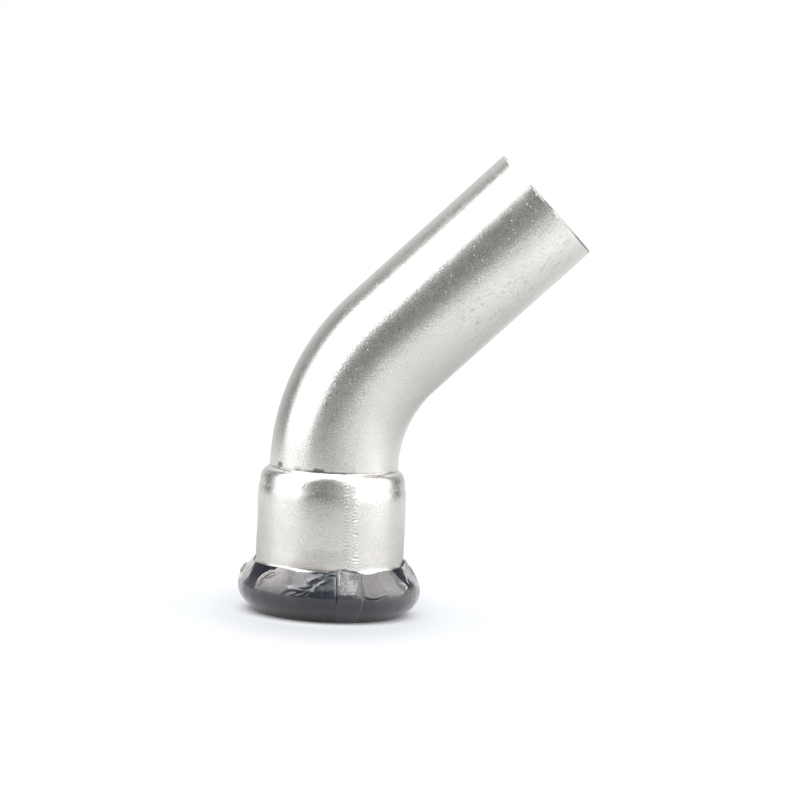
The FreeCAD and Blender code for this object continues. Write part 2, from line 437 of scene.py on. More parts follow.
def weldRipples(weld, socketTop, base, aside, along):
    # two columns of bowed ripples, worn in places and fainter above the socket
    worn = weld["worn"] + (1 - weld["worn"]) * ease(lumps(base, *weld["wearLumps"]), *weld["wearEase"])
    above, fading = weld["above"]
    worn = worn * (above + (1 - above) * (1 - ease(along, socketTop, socketTop + fading)))
    wander, *wanderLumps = weld["wander"]
    wandering = wander * lumps(base, *wanderLumps)
    ripples = np.zeros(aside.shape)
    for middle, start in ((-weld["columnGap"] / 2, 0.0), (weld["columnGap"] / 2, 0.5)):
        phase = along / weld["pitch"] + start + weld["bowing"] * (aside - middle) ** 2 + wandering
        inColumn = np.exp(-((aside - middle) / weld["columnWidth"]) ** 4)
        ripples += inColumn * worn * np.sin(2 * np.pi * phase)
    return ripples


def fullness(size, angles, along):
    # how far the formed end stands out from its plain section
    swell, comes, goes = size["leftSwell"]
    full = swell * hump(-angles % 360, *size["leftSide"]) * hump(along, comes, goes)
    swell, comes, goes = size["topSwell"]
    full = full + swell * hump(along, comes, goes)
    sink, comes, goes = size["wallSink"]
    rising = np.clip((along - comes[0]) / (comes[1] - comes[0]), 0, 1)
    full = full - sink * rising ** 2 * (1 - ease(along, *goes))
    swell, comes, goes = size["footSwell"]
    return full + swell * hump(along, comes, goes) * ease(np.cos(np.radians(angles)), *size["footFront"])


def makeBody(size, weld):
    rows, flare, bendStart, end = bodySection(size)
    denseStart, denseEnd = size["weldColumns"]
    dense = np.arange(denseStart, denseEnd, size["weldColumnStep"])
    spreadCount = round((360 - denseEnd + denseStart) / size["columnStep"])
    spread = np.linspace(denseEnd, denseStart + 360, spreadCount + 1)[:-1]
    angles = np.concatenate([dense, spread])[None, :]
    onRight = hump(angles, *size["flareRight"])
    radius = rows[:, :1] + flare[:, :1] * onRight
    along = rows[:, 1:] + flare[:, 1:] * onRight
    isOuter = (np.arange(len(rows)) <= np.argmax(rows[:, 1]))[:, None]
    # how far each corner is from the weld's middle, round the body
    seamAngle = np.interp(rows[:, 1], *zip(*weld["path"]))[:, None]
    cornerAngles = np.append(np.where(angles > 180, angles - 360, angles), denseStart)
    away = np.radians(cornerAngles[None, :] - seamAngle) * rows[:, :1]
    aside = away[:, :-1]
    base = alongBody(size, radius, along, angles, bendStart)
    ripples = weldRipples(weld, size["socketDepth"], base, aside, along)
    crown = weld["crown"] * (1 - ease(np.abs(aside), weld["crownHalf"], weld["halfWidth"]))
    lift = crown + weld["ripple"] * ripples + fullness(size, angles, along)
    # the formed metal is never quite even
    for height, lumpSize, seed in size["uneven"]:
        lift += height * lumps(base, lumpSize, seed)
    lift *= isOuter * hump(along, size["trueMouth"], [end - before for before in size["trueEnd"]])
    points = alongBody(size, radius + lift, along, angles, bendStart)
    mapAcross = np.where(isOuter, away, size["insideAcross"])
    piece = closedSkin("elbowBody", points, mapAcross, np.append(rows[:, 1], rows[0, 1]), "weldMap")
    paint(piece, "ripple", ripples * isOuter)
    return piece, end


body, bodyEnd = makeBody(bodySize, weldSeam)
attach(body, "root")
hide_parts("elbow_body")
print("body made:", len(body.data.polygons), "faces")

steelLook = {
    "light": (0.665, 0.655, 0.63, 1),
    "dull": (0.635, 0.622, 0.60, 1),
    "stain": (0.50, 0.485, 0.47, 1),
    "grit": (0.54, 0.53, 0.51, 1),
    "sand": (0.42, 0.41, 0.40, 1),
    "glint": (0.86, 0.85, 0.83, 1),
    # the weld's ripples: painted shade in their grooves, painted highlight on their crests
    "rippleShade": (0.34, 0.33, 0.32, 1),
    "rippleHighlight": (0.80, 0.79, 0.77, 1),
    # dirt, and the crease's painted shade
    "dirtAndCreaseShade": (0.16, 0.155, 0.15, 1),
    "smear": (0.34, 0.315, 0.30, 1),
    # painted shade on the cut end's edge
    "cut": (0.085, 0.083, 0.08, 1),
    "scuff": (0.40, 0.39, 0.375, 1),
    "rimTint": (0.88, 0.88, 0.88, 1),
    "roughness": (0.24, 0.30),
    # depths of the reliefs, in mm
    "fineDepth": 0.020,
    "peelDepth": 0.005,
    "weldDepth": 0.05,
    "pitDepth": 0.026,
    # noises: size in mm, detail, roughness
    "grains": {
        "fine": (0.25, 1.0, 0.5),
        "peel": (0.75, 3.0, 0.55),
        "cloud": (5.5, 3.0, 0.6),
        "patch": (1.6, 2.0, 0.5),
        "cluster": (9.0, 1.0, 0.5),
        "speck": (0.5, 3.0, 0.7),
        "sand": (0.2, 1.0, 0.5),
        "worn": (2.6, 2.0, 0.6),
        "blotch": (0.7, 2.0, 0.6),
    },
    # levels between which a mark changes, and its strength before and after
    "dulled": (0.35, 0.7),
    "stained": (0.60, 0.75, 0.0, 0.35),
    "gritty": (0.52, 0.66, 0.0, 0.62),
    "sandDark": (0.50, 0.34),
    "sandBright": (0.52, 0.68),
    # where the ripples' painted shade and painted highlight come in
    "grooves": (-0.1, -0.6, 0.0, 0.6),
    "ridges": (0.2, 0.7, 0.0, 0.6),
    "onWeld": (1.1, 1.9, 1.0, 0.0),
    "pitCell": 0.85,                        # mm
    "pitEdge": (0.06, 0.17, 1.0, 0.0),
    "pitClusters": (0.45, 0.62, 0.0, 0.24),
    "pitChance": (0.86, 0.90),
    "scuffed": (0.54, 0.66, 0.0, 0.7),
    "creaseShadeUneven": (0.42, 0.62, 0.0, 0.4),
    "blotched": (0.38, 0.62, 0.12, 0.8),
    "cutPatchy": (0.3, 0.5, 0.7, 1.0),
    "uneven": (0.3, 0.7),                   # for the roughness
    # places: middle, half width and softness in mm, away from the weld and along the body; then how much
    "speckled": ((-5.4, 1.3, 1.0), (77, 6.5, 3), 0.7),
    "sandyFront": (-4.4, 2.2, 2.4),         # away from the weld only
    "sandyAlong": (26, 40, 0.10, 0.80),     # two distances along the body, and how much before and after
    "sandyShoulder": ((-4.0, 3.0, 2.0), (21.6, 1.4, 1.6), 0.6),
    # the crease's painted shade, and the spots of dirt on it
    "creaseLine": (25.1, 0.16, 0.14),       # along the body only
    "creaseFront": ((-4.5, 4.5, 2.0), 0.55),    # away from the weld only, and how much
    "ragged": 0.8,                          # mm by which the spots' edges wander
    "creaseSpots": (((-13.3, 0.55, 0.35), (25.62, 0.24, 0.2), 0.85),
                    ((-5.1, 0.6, 0.6), (25.42, 0.16, 0.2), 0.9)),
    "creaseShadeSpot": ((-9.0, 0.5, 0.4), (25.5, 0.10, 0.2), 0.4),
    "shoulderStains": (((-16.4, 0.7, 1.0), (22.5, 0.9, 1.3), 1.0),
                       ((10.9, 0.6, 0.9), (22.5, 0.9, 1.3), 1.0)),
    "scuffs": ((3.6, 2.6, 1.6), (72, 10, 6), 1.0),
    # where the painted shade on the cut end's edge is strong, where there is none, and how much elsewhere
    "cutShade": ((-6.2, 2.6, 0.9, 0.5), (7.0, 3.6, 1.5, 0.2)),   # away from the weld, and how much
    "cutClear": (-13.8, 2.8, 0.8),          # none there, and everywhere else at least this much
    "cutElsewhere": 0.42,
    "cutEdge": (0.38, 0.26),                # mm before the end
    "scuffStretch": (0.0016, 0.0005),       # what a mm across and along the body is in the noise, in m
    "scuffGrain": (1.0, 3.0, 0.7),
    "smearPlace": (-6.5, 2.6, 1.2),         # away from the weld, and how far the noise moves it
    "smearWander": (2.0, 1.4),
    "smearAlong": (9.8, 11.4, 0.45, 0.0),
}


def onPlace(finish, on, across, along, amount):
    # how much of a mark there is, on one place of the body
    return finish.band(on["aside"], *across) * finish.band(on["distance"], *along) * amount


def steelPits(finish, look, on):
    # pits and flecks, in clusters
    cells = {"Vector": on["place"], "Scale": 1 / (look["pitCell"] * mm)}
    near = finish.node("ShaderNodeTexVoronoi", {}, cells, out="Distance")
    chance = finish.node("ShaderNodeSeparateColor", {}, {0: near.also("Color")})
    clustered = finish.ease(on["cluster"], *look["pitClusters"]) + onPlace(finish, on, *look["speckled"])
    return finish.ease(near, *look["pitEdge"]) * finish.ease(chance + clustered, *look["pitChance"])


def steelGround(finish, look, on):
    # the pickled metal: two close greys, faint stains, dark grit and a sand-like grain
    colour = finish.tint(finish.ease(on["cloud"], *look["dulled"]), look["light"], look["dull"])
    colour = finish.tint(finish.ease(on["speck"], *look["stained"]), colour, look["stain"])
    colour = finish.tint(finish.ease(on["fine"], *look["gritty"]), colour, look["grit"])
    # the sand shows most along the front of the bend and the leg
    before, after, least, most = look["sandyAlong"]
    sandy = finish.band(on["aside"], *look["sandyFront"])
    sandy = sandy * finish.ease(on["distance"], before, after, 0.0, most - least) + least
    sandy = sandy + onPlace(finish, on, *look["sandyShoulder"])
    colour = finish.tint(finish.ease(on["sand"], *look["sandDark"]) * sandy, colour, look["sand"])
    return finish.tint(finish.ease(on["sand"], *look["sandBright"]) * sandy, colour, look["glint"])


def steelWeld(finish, look, colour):
    # painted shade in the ripples' grooves and painted highlight on their crests
    ripple = finish.read("ripple")
    colour = finish.tint(finish.ease(ripple, *look["grooves"]), colour, look["rippleShade"])
    return finish.tint(finish.ease(ripple, *look["ridges"]), colour, look["rippleHighlight"])


def steelDirt(finish, look, on, colour):
    # painted shade along the crease, mostly in front, and spots of dirt on it
    front, amount = look["creaseFront"]
    dirty = finish.band(on["aside"], *front) * amount + finish.ease(on["worn"], *look["creaseShadeUneven"])
    crease = finish.band(on["distance"], *look["creaseLine"]) * dirty
    ragged = {"aside": on["aside"], "distance": on["distance"] + (on["fine"] - 0.5) * look["ragged"]}
    for spot in look["creaseSpots"]:
        crease = crease + onPlace(finish, ragged, *spot)
    crease = crease + onPlace(finish, on, *look["creaseShadeSpot"])
    colour = finish.tint(crease, colour, look["dirtAndCreaseShade"])
    # stains on the shoulder's two sides
    left, right = (onPlace(finish, on, *place) for place in look["shoulderStains"])
    sides = (left + right) * finish.ease(on["blotch"], *look["blotched"])
    return finish.tint(sides, colour, look["smear"])


def steelCut(finish, look, on, colour, end, inside):
    # painted shade on the edge of the cut end, which comes and goes; the map stays well under inside on the
    # outer face
    start, full = look["cutEdge"]
    outside = finish.ease(on["aside"], inside - 6, inside - 4, 1.0, 0.0)
    edge = finish.ease(on["distance"], end - start, end - full) * outside
    strength = (1 - finish.band(on["aside"], *look["cutClear"])) * look["cutElsewhere"]
    for *across, amount in look["cutShade"]:
        strength = strength + finish.band(on["aside"], *across) * amount
    return finish.tint(edge * strength * finish.ease(on["patch"], *look["cutPatchy"]), colour, look["cut"])


def steelWear(finish, look, on, colour):
    # scuffs on the leg's right side, drawn out along it
    across, along = look["scuffStretch"]
    drawn = finish.node("ShaderNodeCombineXYZ", {}, {0: on["aside"] * across, 1: on["distance"] * along})
    scuff = finish.ease(finish.grain(drawn, *look["scuffGrain"]), *look["scuffed"])
    colour = finish.tint(scuff * onPlace(finish, on, *look["scuffs"]), colour, look["scuff"])
    # a brownish smear in front, just above the film
    sideways, upwards = look["smearWander"]
    smear = finish.band(on["aside"] + on["cloud"] * sideways, *look["smearPlace"])
    smear = smear * finish.ease(on["distance"] + on["patch"] * upwards, *look["smearAlong"])
    return finish.tint(smear, colour, look["smear"])


def makeSteel(look, end, inside):
    material, finish = newMaterial("pickledSteel")
    place = finish.node("ShaderNodeTexCoord", out="Object")
    across = finish.node("ShaderNodeSeparateXYZ", {},
                         {"Vector": finish.node("ShaderNodeUVMap", {"uv_map": "weldMap"})})
    # the noises, and the distances from the weld and along the body in mm
    on = {name: finish.grain(place, *values) for name, values in look["grains"].items()}
    on.update(place=place, aside=across * mapScale, distance=across.also(1) * mapScale)
    colour = steelWeld(finish, look, steelGround(finish, look, on))
    colour = steelDirt(finish, look, on, colour)
    colour = steelCut(finish, look, on, colour, end, inside)
    colour = steelWear(finish, look, on, colour)
    away = finish.node("ShaderNodeMath", {"operation": "ABSOLUTE"}, {0: on["aside"]})
    height = on["fine"] * look["fineDepth"] + on["peel"] * look["peelDepth"]
    height = height + steelPits(finish, look, on) * look["pitDepth"]
    height = height + finish.ease(away, *look["onWeld"]) * (on["patch"] - 0.5) * look["weldDepth"]
    shader = finish.node("ShaderNodeBsdfPrincipled", {}, {
        "Base Color": colour,
        "Metallic": 1.0,
        "Roughness": finish.ease(on["cloud"] * 0.5 + on["patch"] * 0.5, *look["uneven"], *look["roughness"]),
        "Specular Tint": look["rimTint"],
        "Normal": finish.relief(height, 1.0),
    })
    finish.node("ShaderNodeOutputMaterial", {}, {"Surface": shader})
    return material


body.data.materials.append(makeSteel(steelLook, bodyEnd, bodySize["insideAcross"]))

# the shrunk film, in mm
filmSize = {
    "gap": 0.06,
    "thickness": 0.12,
    "rimLift": 0.12,
    "earLift": 0.02,                        # the same at the ears
    "ears": (66, 76),                       # degrees from the front
    "edgeRadius": 2.5,
    "hem": 0.5,
    "rows": 116,
    "innerRows": 14,
    "frontStep": 0.4,                       # degrees between columns in front
    "backStep": 1.25,
    "frontEnd": 104,
    "sectionStep": 0.1,
    "lap": (8.0, 24.2),                     # degrees, where the strip lies double
    "lapEdges": ((-0.2, 0.9), (-0.5, 0.1)), # degrees off its start and end over which it steps
    "lapSlant": (2.2, 5.2, 8.6),            # degrees that its end leans over, and between which heights
    "lapLift": 0.11,
    "lapGroove": (0.13, -0.3, 0.55),        # depth, and its middle and width in degrees from the start
    "foldInset": 0.3,                       # degrees count as mm this far inside the bead's side
    "foldRim": 8.8,                         # height of the rim by which folds are placed
    "foldPoints": 400,
    "foldTaper": (-0.1, 0.25),              # shares of its length over which a fold thins out
    "foldRound": 1.6,                       # powers that shape a fold's section and the painted highlight on its crest
    "paintedFoldLightPower": 1.7,
    "insideAlong": 20.0,                    # what the map says inside
    "lowest": -0.05,                        # nothing but the sunk left goes deeper
    # lumps: height, size, seed, and how much of their upright distance counts
    "waves": (0.035, 1.7, 3.0, 0.22),
    "dents": (0.030, 2.4, 7.0, 1.0),
    "dimples": (0.010, 0.7, 8.0, 1.0),
    "backFolds": (0.10, 1.9, 11.0, 0.45),
    "wavesUp": (-6.0, -1.0),                # heights from the bead's middle over which the waves come
    "evenLap": (0.75, (8, 9), (24, 26)),    # how much evener the lap is, and between which degrees
    "back": (88, 60),                       # degrees from the back
    "rightShift": (0.22, (40, 75), (120, 150)),     # how far, and over which degrees that comes and goes
    "rightShiftUp": (-4.5, -2.5),           # and heights from the bead's middle
    "leftSink": (0.12, (50, 75), (4.0, 7.0)),   # to the left in degrees, and up to which height
    "hemFade": (0.0, 0.8),                  # heights above the hem over which all this comes
    # the upper rim: degrees from the front towards +X, and height
    "rim": ((-90, 8.95), (-86, 8.62), (-78, 8.42), (-64, 8.56), (-49, 8.53), (-43, 8.60), (-37, 8.66),
            (-29, 8.58), (-22, 8.37), (-14, 8.38), (-6, 8.60), (1, 8.56), (5, 8.77), (9, 9.00), (12, 9.06),
            (15, 9.00), (21, 8.80), (24, 8.70), (26, 8.57), (30, 8.34), (34, 8.34), (38, 8.47), (42, 8.61),
            (50, 8.71), (56, 8.60), (60, 8.70), (65, 8.80), (74, 8.68), (82, 8.90), (90, 9.55), (105, 9.20),
            (120, 8.75), (135, 8.60), (150, 8.85), (165, 8.70), (180, 8.50), (195, 8.70), (210, 8.90),
            (225, 8.60), (240, 8.70), (255, 8.95), (270, 8.95)),
}

# folds of the film: points (degrees from the front, height in mm), width and height in mm,
# and how white (or, below zero, how dark) the film is painted along the fold, as painted highlight and
# painted shade
filmFolds = [
    # the tuck beside the left ear
    ([(-39.5, 8.34), (-44.5, 7.80), (-48.5, 7.10), (-50.0, 6.30), (-50.5, 5.20)], 0.14, 0.19, 0.95),
    ([(-37.0, 8.00), (-42.5, 7.50), (-45.8, 6.95), (-47.6, 6.30), (-48.0, 5.45)], 0.18, -0.14, -1.0),
    ([(-39.5, 8.10), (-41.5, 7.50), (-43.8, 7.10)], 0.16, 0.12, 0.6),
    ([(-36.0, 7.67), (-40.0, 7.25), (-43.0, 6.84), (-46.5, 6.70)], 0.18, -0.10, -0.6),
    ([(-46.0, 8.35), (-43.0, 8.20), (-40.0, 8.28)], 0.18, -0.10, -1.0),
    ([(-56.0, 8.50), (-58.0, 7.40), (-58.0, 6.40), (-55.0, 5.30)], 0.70, -0.24, 0.0),
    # pleats in front
    ([(-25.5, 4.50), (-24.5, 5.00), (-22.5, 5.32), (-19.0, 5.40), (-15.0, 5.32), (-11.0, 5.60)],
     0.19, -0.10, -0.8),
    ([(-28.0, 4.60), (-26.5, 5.20), (-24.0, 5.62), (-20.0, 5.72), (-15.0, 5.60)], 0.22, 0.10, 0.25),
    ([(-17.0, 5.90), (-13.0, 5.82), (-10.0, 5.98), (-7.0, 6.30)], 0.18, -0.12, -1.0),
    ([(-18.5, 4.75), (-17.0, 5.07), (-15.0, 5.20), (-12.0, 5.50)], 0.17, -0.10, -0.9),
    ([(-14.0, 4.70), (-11.5, 5.00), (-10.0, 5.40)], 0.15, -0.07, -0.6),
    ([(-7.5, 6.50), (-5.0, 7.10), (-3.0, 7.40), (-1.0, 7.90), (-0.5, 8.50)], 0.22, -0.20, -1.0),
    ([(-8.0, 8.10), (-5.0, 8.50), (0.0, 8.45), (4.0, 8.60)], 0.24, -0.12, -1.0),
    ([(-12.0, 6.60), (-10.0, 7.20), (-5.5, 7.75), (-3.5, 8.00)], 0.42, 0.16, 0.32),
    ([(-6.0, 6.10), (-3.8, 6.75), (-1.0, 7.10), (1.5, 7.40)], 0.20, 0.16, 0.5),
    ([(-8.0, 5.40), (-6.8, 5.70)], 0.25, 0.10, 0.4),
    ([(2.5, 8.38), (7.5, 8.38)], 0.12, 0.06, 0.5),
    ([(9.0, 8.92), (14.0, 8.92), (20.0, 8.70), (24.5, 8.55), (25.4, 8.20)], 0.12, -0.05, -0.9),
    ([(1.5, 7.90), (4.0, 8.08), (8.0, 8.12)], 0.16, -0.08, -0.9),
    ([(-34.0, 5.60), (-24.0, 5.90), (-14.5, 6.00), (-8.0, 6.30)], 0.30, 0.035, 0.0),
    ([(-9.0, 4.80), (-9.0, 3.50), (-9.0, 2.15)], 0.35, -0.05, -0.3),
    # where the strip starts, and where it ends
    ([(8.0, 8.45), (8.0, 7.00), (8.0, 5.60), (8.0, 3.00)], 0.16, -0.05, -0.9),
    ([(9.3, 8.60), (9.8, 7.60), (9.6, 6.40)], 0.15, 0.06, 0.7),
    ([(24.4, 5.10), (24.2, 3.20)], 0.12, 0.03, 0.55),
    # the wavy edge to the right of the strip
    ([(24.5, 5.35), (26.0, 5.08), (29.0, 4.90), (32.5, 4.76), (36.0, 4.90), (39.0, 5.10), (44.0, 5.17)],
     0.18, 0.08, 0.42),
    ([(24.5, 4.95), (27.0, 4.62), (31.0, 4.45), (35.0, 4.48), (39.0, 4.70)], 0.16, -0.06, -0.8),
    ([(38.0, 5.60), (41.0, 5.62), (45.0, 5.40)], 0.16, -0.05, -0.4),
    ([(9.0, 5.20), (14.0, 5.20), (19.0, 5.28), (23.5, 5.20)], 0.18, 0.06, 0.15),
    # the tuck beside the right ear
    ([(57.5, 6.75), (60.0, 6.50), (62.5, 6.15), (63.0, 5.85), (59.5, 5.45), (56.5, 4.95)], 0.15, 0.12, 1.0),
    ([(71.0, 8.50), (69.5, 7.80), (69.0, 7.20), (67.5, 6.50), (68.5, 5.90)], 0.15, 0.12, 1.0),
    ([(66.5, 7.60), (66.5, 6.90), (66.0, 6.20)], 0.12, 0.08, 0.4),
    ([(60.0, 6.00), (60.8, 5.70), (58.0, 5.15)], 0.16, -0.10, -1.0),
    # where the ears fold over
    ([(-91.0, 7.70), (-91.0, 6.90), (-90.0, 5.80)], 0.85, 0.50, 0.0),
    ([(90.0, 8.60), (90.0, 7.20), (89.0, 5.60)], 0.80, 0.24, 0.0),
]


def roundSocket(section, angles):
    # points of sections (radius, height), a column for each angle, set round the socket
    turn = np.radians(angles)
    return np.stack([section[..., 0] * np.sin(turn), -section[..., 0] * np.cos(turn), section[..., 1]], -1)


def rimRadius(bodyPart, upper, rim):
    # the metal's radius behind the film's rim, on the bead's slope or on the fillet above it
    wall, fillet = bodyPart["boreRadius"] + bodyPart["wall"], bodyPart["beadFillet"]
    blend = (wall + fillet, bodyPart["beadTop"])
    slopeLow, slopeHigh, _ = crossing(upper, bodyPart["beadUpper"], blend, fillet)
    if rim < slopeHigh[1]:
        return np.interp(rim, (slopeLow[1], slopeHigh[1]), (slopeLow[0], slopeHigh[0]))
    below = max(bodyPart["beadTop"] - rim, 0)
    return wall + fillet - math.sqrt(fillet ** 2 - below ** 2)


def filmSection(size, bodyPart, rim, rimLift, far, count):
    # evenly spaced points across the film at one angle, from the hem to the rim, far being its distance
    # off the metal, with their outward normals and their distances up from the bead's middle
    bead, side = bodyPart["beadHeight"], bodyPart["beadRadius"]
    lower = (side - bodyPart["beadLower"], bead)
    upper = (side - bodyPart["beadUpper"], bead)
    lip = (bodyPart["lipRadius"], 0.0)
    flankAngle = touching(lip, lower, bodyPart["beadLower"])
    flank = np.array([math.cos(math.radians(flankAngle)), math.sin(math.radians(flankAngle))])
    hem = np.array(lip) + flank * size["hem"] + np.array([flank[1], -flank[0]]) * far
    # from its widest place a rounded edge, and then straight up to the rim
    edge = size["edgeRadius"] + size["gap"]
    corner = np.array([side + size["gap"] - edge, bead])
    inRim = np.array([rimRadius(bodyPart, upper, rim) + rimLift + size["gap"], rim])
    toRim = inRim - corner
    tilt = math.atan2(toRim[1], toRim[0]) - math.acos(edge / math.hypot(*toRim))
    way = np.array([math.cos(tilt), math.sin(tilt)])
    layer, step = far - size["gap"], size["sectionStep"]
    line = join([tuple(hem)], bow(lower, bodyPart["beadLower"] + far, flankAngle - 90, 0, step),
                bow(corner, edge + layer, 0, math.degrees(tilt), step),
                run(corner + way * (edge + layer), inRim + way * layer, step))
    steps = np.append(0, np.cumsum(np.hypot(*np.diff(line, axis=0).T)))
    at = np.linspace(0, steps[-1], count)
    points = np.stack([np.interp(at, steps, line[:, 0]), np.interp(at, steps, line[:, 1])], -1)
    slope = np.gradient(points, axis=0)
    normals = np.stack([slope[:, 1], -slope[:, 0]], -1)
    normals /= np.linalg.norm(normals, axis=1)[:, None]
    return points, normals, at - np.interp(bead, points[:, 1], at)


def filmColumns(size):
    # the columns' angles, closer together in front, and the rim's height and lift at each
    end = size["frontEnd"]
    front, back = np.arange(-end, end, size["frontStep"]), np.arange(end, 360 - end, size["backStep"])
    angles = np.concatenate([front, back])
    rims = np.interp(np.where(angles < -90, angles + 360, angles), *zip(*size["rim"]))
    atEars = ease(np.abs(np.where(angles > 180, angles - 360, angles)), *size["ears"])
    return angles, rims, size["rimLift"] + (size["earLift"] - size["rimLift"]) * atEars


def foldShape(size, across, up, line, width):
    # a rounded ridge along a line of points, thinning out at its ends
    steps = np.append(0, np.cumsum(np.hypot(*np.diff(line, axis=0).T)))
    best = np.full(across.shape, np.inf)
    place = np.zeros(across.shape)
    for start, end, begin in zip(line[:-1], line[1:], steps):
        way = end - start
        share = np.clip(((across - start[0]) * way[0] + (up - start[1]) * way[1]) / (way @ way), 0, 1)
        gap = np.hypot(across - start[0] - share * way[0], up - start[1] - share * way[1])
        nearer = gap < best
        best = np.where(nearer, gap, best)
        place = np.where(nearer, begin + share * np.linalg.norm(way), place)
    before, full = (share * steps[-1] for share in size["foldTaper"])
    taper = ease(place, before, full) * ease(steps[-1] - place, before, full)
    return taper * np.exp(-(best / width) ** size["foldRound"])


def filmFoldRelief(size, folds, bodyPart, angles, up):
    # height of all folds together, and the painted highlight and painted shade they put on the film
    level, _, levelUp = filmSection(size, bodyPart, size["foldRim"], size["rimLift"],
                                    size["gap"] + size["thickness"], size["foldPoints"])
    radius = bodyPart["beadRadius"] - size["foldInset"]
    across = np.broadcast_to(np.radians(angles)[None, :] * radius, up.shape)
    relief, crest = np.zeros(up.shape), np.zeros(up.shape)
    for points, width, height, white in folds:
        line = np.array([(math.radians(degrees) * radius, np.interp(tall, level[:, 1], levelUp))
                         for degrees, tall in points])
        fold = foldShape(size, across, up, line, width)
        relief += fold * height
        crest += fold ** size["paintedFoldLightPower"] * white
    return relief, crest


def filmLumps(spot, height, lumpSize, seed, upright):
    # lumps, drawn out upwards where upright is under 1
    return height * lumps(spot * np.array([1.0, 1.0, upright]), lumpSize, seed)


def filmLift(size, spot, degrees, tall, up):
    # how far the film stands out apart from its folds, and where it lies double
    evener, comes, goes = size["evenLap"]
    lift = filmLumps(spot, *size["waves"]) * ease(up, *size["wavesUp"])
    lift += (1 - evener * hump(degrees, comes, goes)) * filmLumps(spot, *size["dents"])
    lift += filmLumps(spot, *size["dimples"])
    lapStart, lapEnd = size["lap"]
    lean, *leanHeights = size["lapSlant"]
    lapEnd = lapEnd + lean * ease(tall, *leanHeights)
    starts, ends = size["lapEdges"]
    onLap = hump(degrees, [lapStart + off for off in starts], [lapEnd + off for off in ends])
    depth, middle, width = size["lapGroove"]
    lift += size["lapLift"] * onLap - depth * np.exp(-((degrees - lapStart - middle) / width) ** 2)
    # behind, the film has folds of its own, and it sits a little to the right
    lift += ease(np.abs(degrees - 180), *size["back"]) * filmLumps(spot, *size["backFolds"])
    shift, comes, goes = size["rightShift"]
    return lift + shift * hump(degrees, comes, goes) * ease(up, *size["rightShiftUp"]), onLap


upToRim = (20, 21)                          # heights above the film, so that a patch runs up to its rim

# patches of the film: edges are points (height in mm, degrees from the front)
filmPatches = {
    "earLeft": ((2.8, -84), (3.8, -78), (4.6, -71), (5.6, -66), (6.3, -65), (7.2, -66), (8.5, -72)),
    "earRight": ((3.5, 77), (5.4, 77), (6.2, 75), (7.2, 70.5), (8.8, 72)),
    "earBack": (114, 300),
    "earSoft": (2.0, 5.0),                  # degrees, in front and behind
    "earUp": (1.6, 3.2),
    # the paler film below the ears, painted sheen
    "under": (-65, 67),
    "underBack": (118, 296),
    "underSoft": (2.5, 5.0),
    "underUp": ((1.2, 3.0), (4.9, 5.8)),
    "underLevel": 0.62,
    "tuckLeft": ((5.2, -50.5), (6.5, -50.5), (7.0, -50), (7.4, -48), (7.7, -45.5), (8.06, -43), (8.3, -40)),
    # painted shade, as dark patches: left and right edge or the name of one, softness in degrees,
    # the heights over which they come and go, and how dark they are
    "dark": {
        "left": (((4.8, -53), (5.3, -59), (6.3, -63), (7.2, -65), (8.5, -70)), "tuckLeft",
                 1.0, (4.9, 5.5), upToRim, 1.0),
        "right": (((5.4, 62), (5.8, 65), (6.4, 64), (7.0, 61), (7.6, 59), (8.2, 58), (8.6, 56)),
                  ((5.4, 67), (5.8, 73), (6.2, 74), (7.0, 69.5), (8.0, 69.5), (8.7, 71)),
                  0.8, (5.3, 5.7), upToRim, 0.88),
        "middle": (((5.0, -7), (6.0, -6), (6.4, -1.5), (8.7, -2)), ((5.0, 6.0),),
                   1.2, (5.0, 5.6), upToRim, 0.75),
        "pleat": (((5.0, -13.5),), ((5.0, -8.5),), 1.0, (4.9, 5.2), (5.7, 5.9), 0.8),
    },
    "dull": (-29.0, -15.0, 5.0, (5.8, 6.6), (8.0, 8.6)),    # the same, where the film shines less
    # hazy film with painted sheen: degrees from the front and how hazy, then the heights over which that
    # comes or goes
    "hazeSheenLeft": ((-52, 1), (-38, 1), (-30, 0.7), (-22, 0.25), (-13, 0.12), (-8, 0)),
    "hazeSheenLeftUp": (4.4, 8.2),
    "hazeSheenLeftOff": (0.2, 1.6),              # degrees off the tuck
    "hazeSheenRight": ((25, 0), (27, 0.4), (34, 0.38), (45, 0.5), (58, 0.48), (65, 0.4), (68, 0)),
    "hazeSheenRightUp": (4.9, 5.3),
    "lowLeft": ((-68, 0.06), (-50, 0.16), (-25, 0.12), (-8, 0)),
    "lowLeftTop": (5.4, 7.2),
    "lowRight": ((20, 0), (36, 0.216), (60, 0.36), (76, 0.144)),
    "lowRightTop": (5.0, 5.3),
    "lowUp": (1.0, 4.8),
    "rosy": ((-52, 0.8), (-38, 0.5), (-20, 0.2), (0, 0), (24, 1), (38, 1), (46, 0)),
}


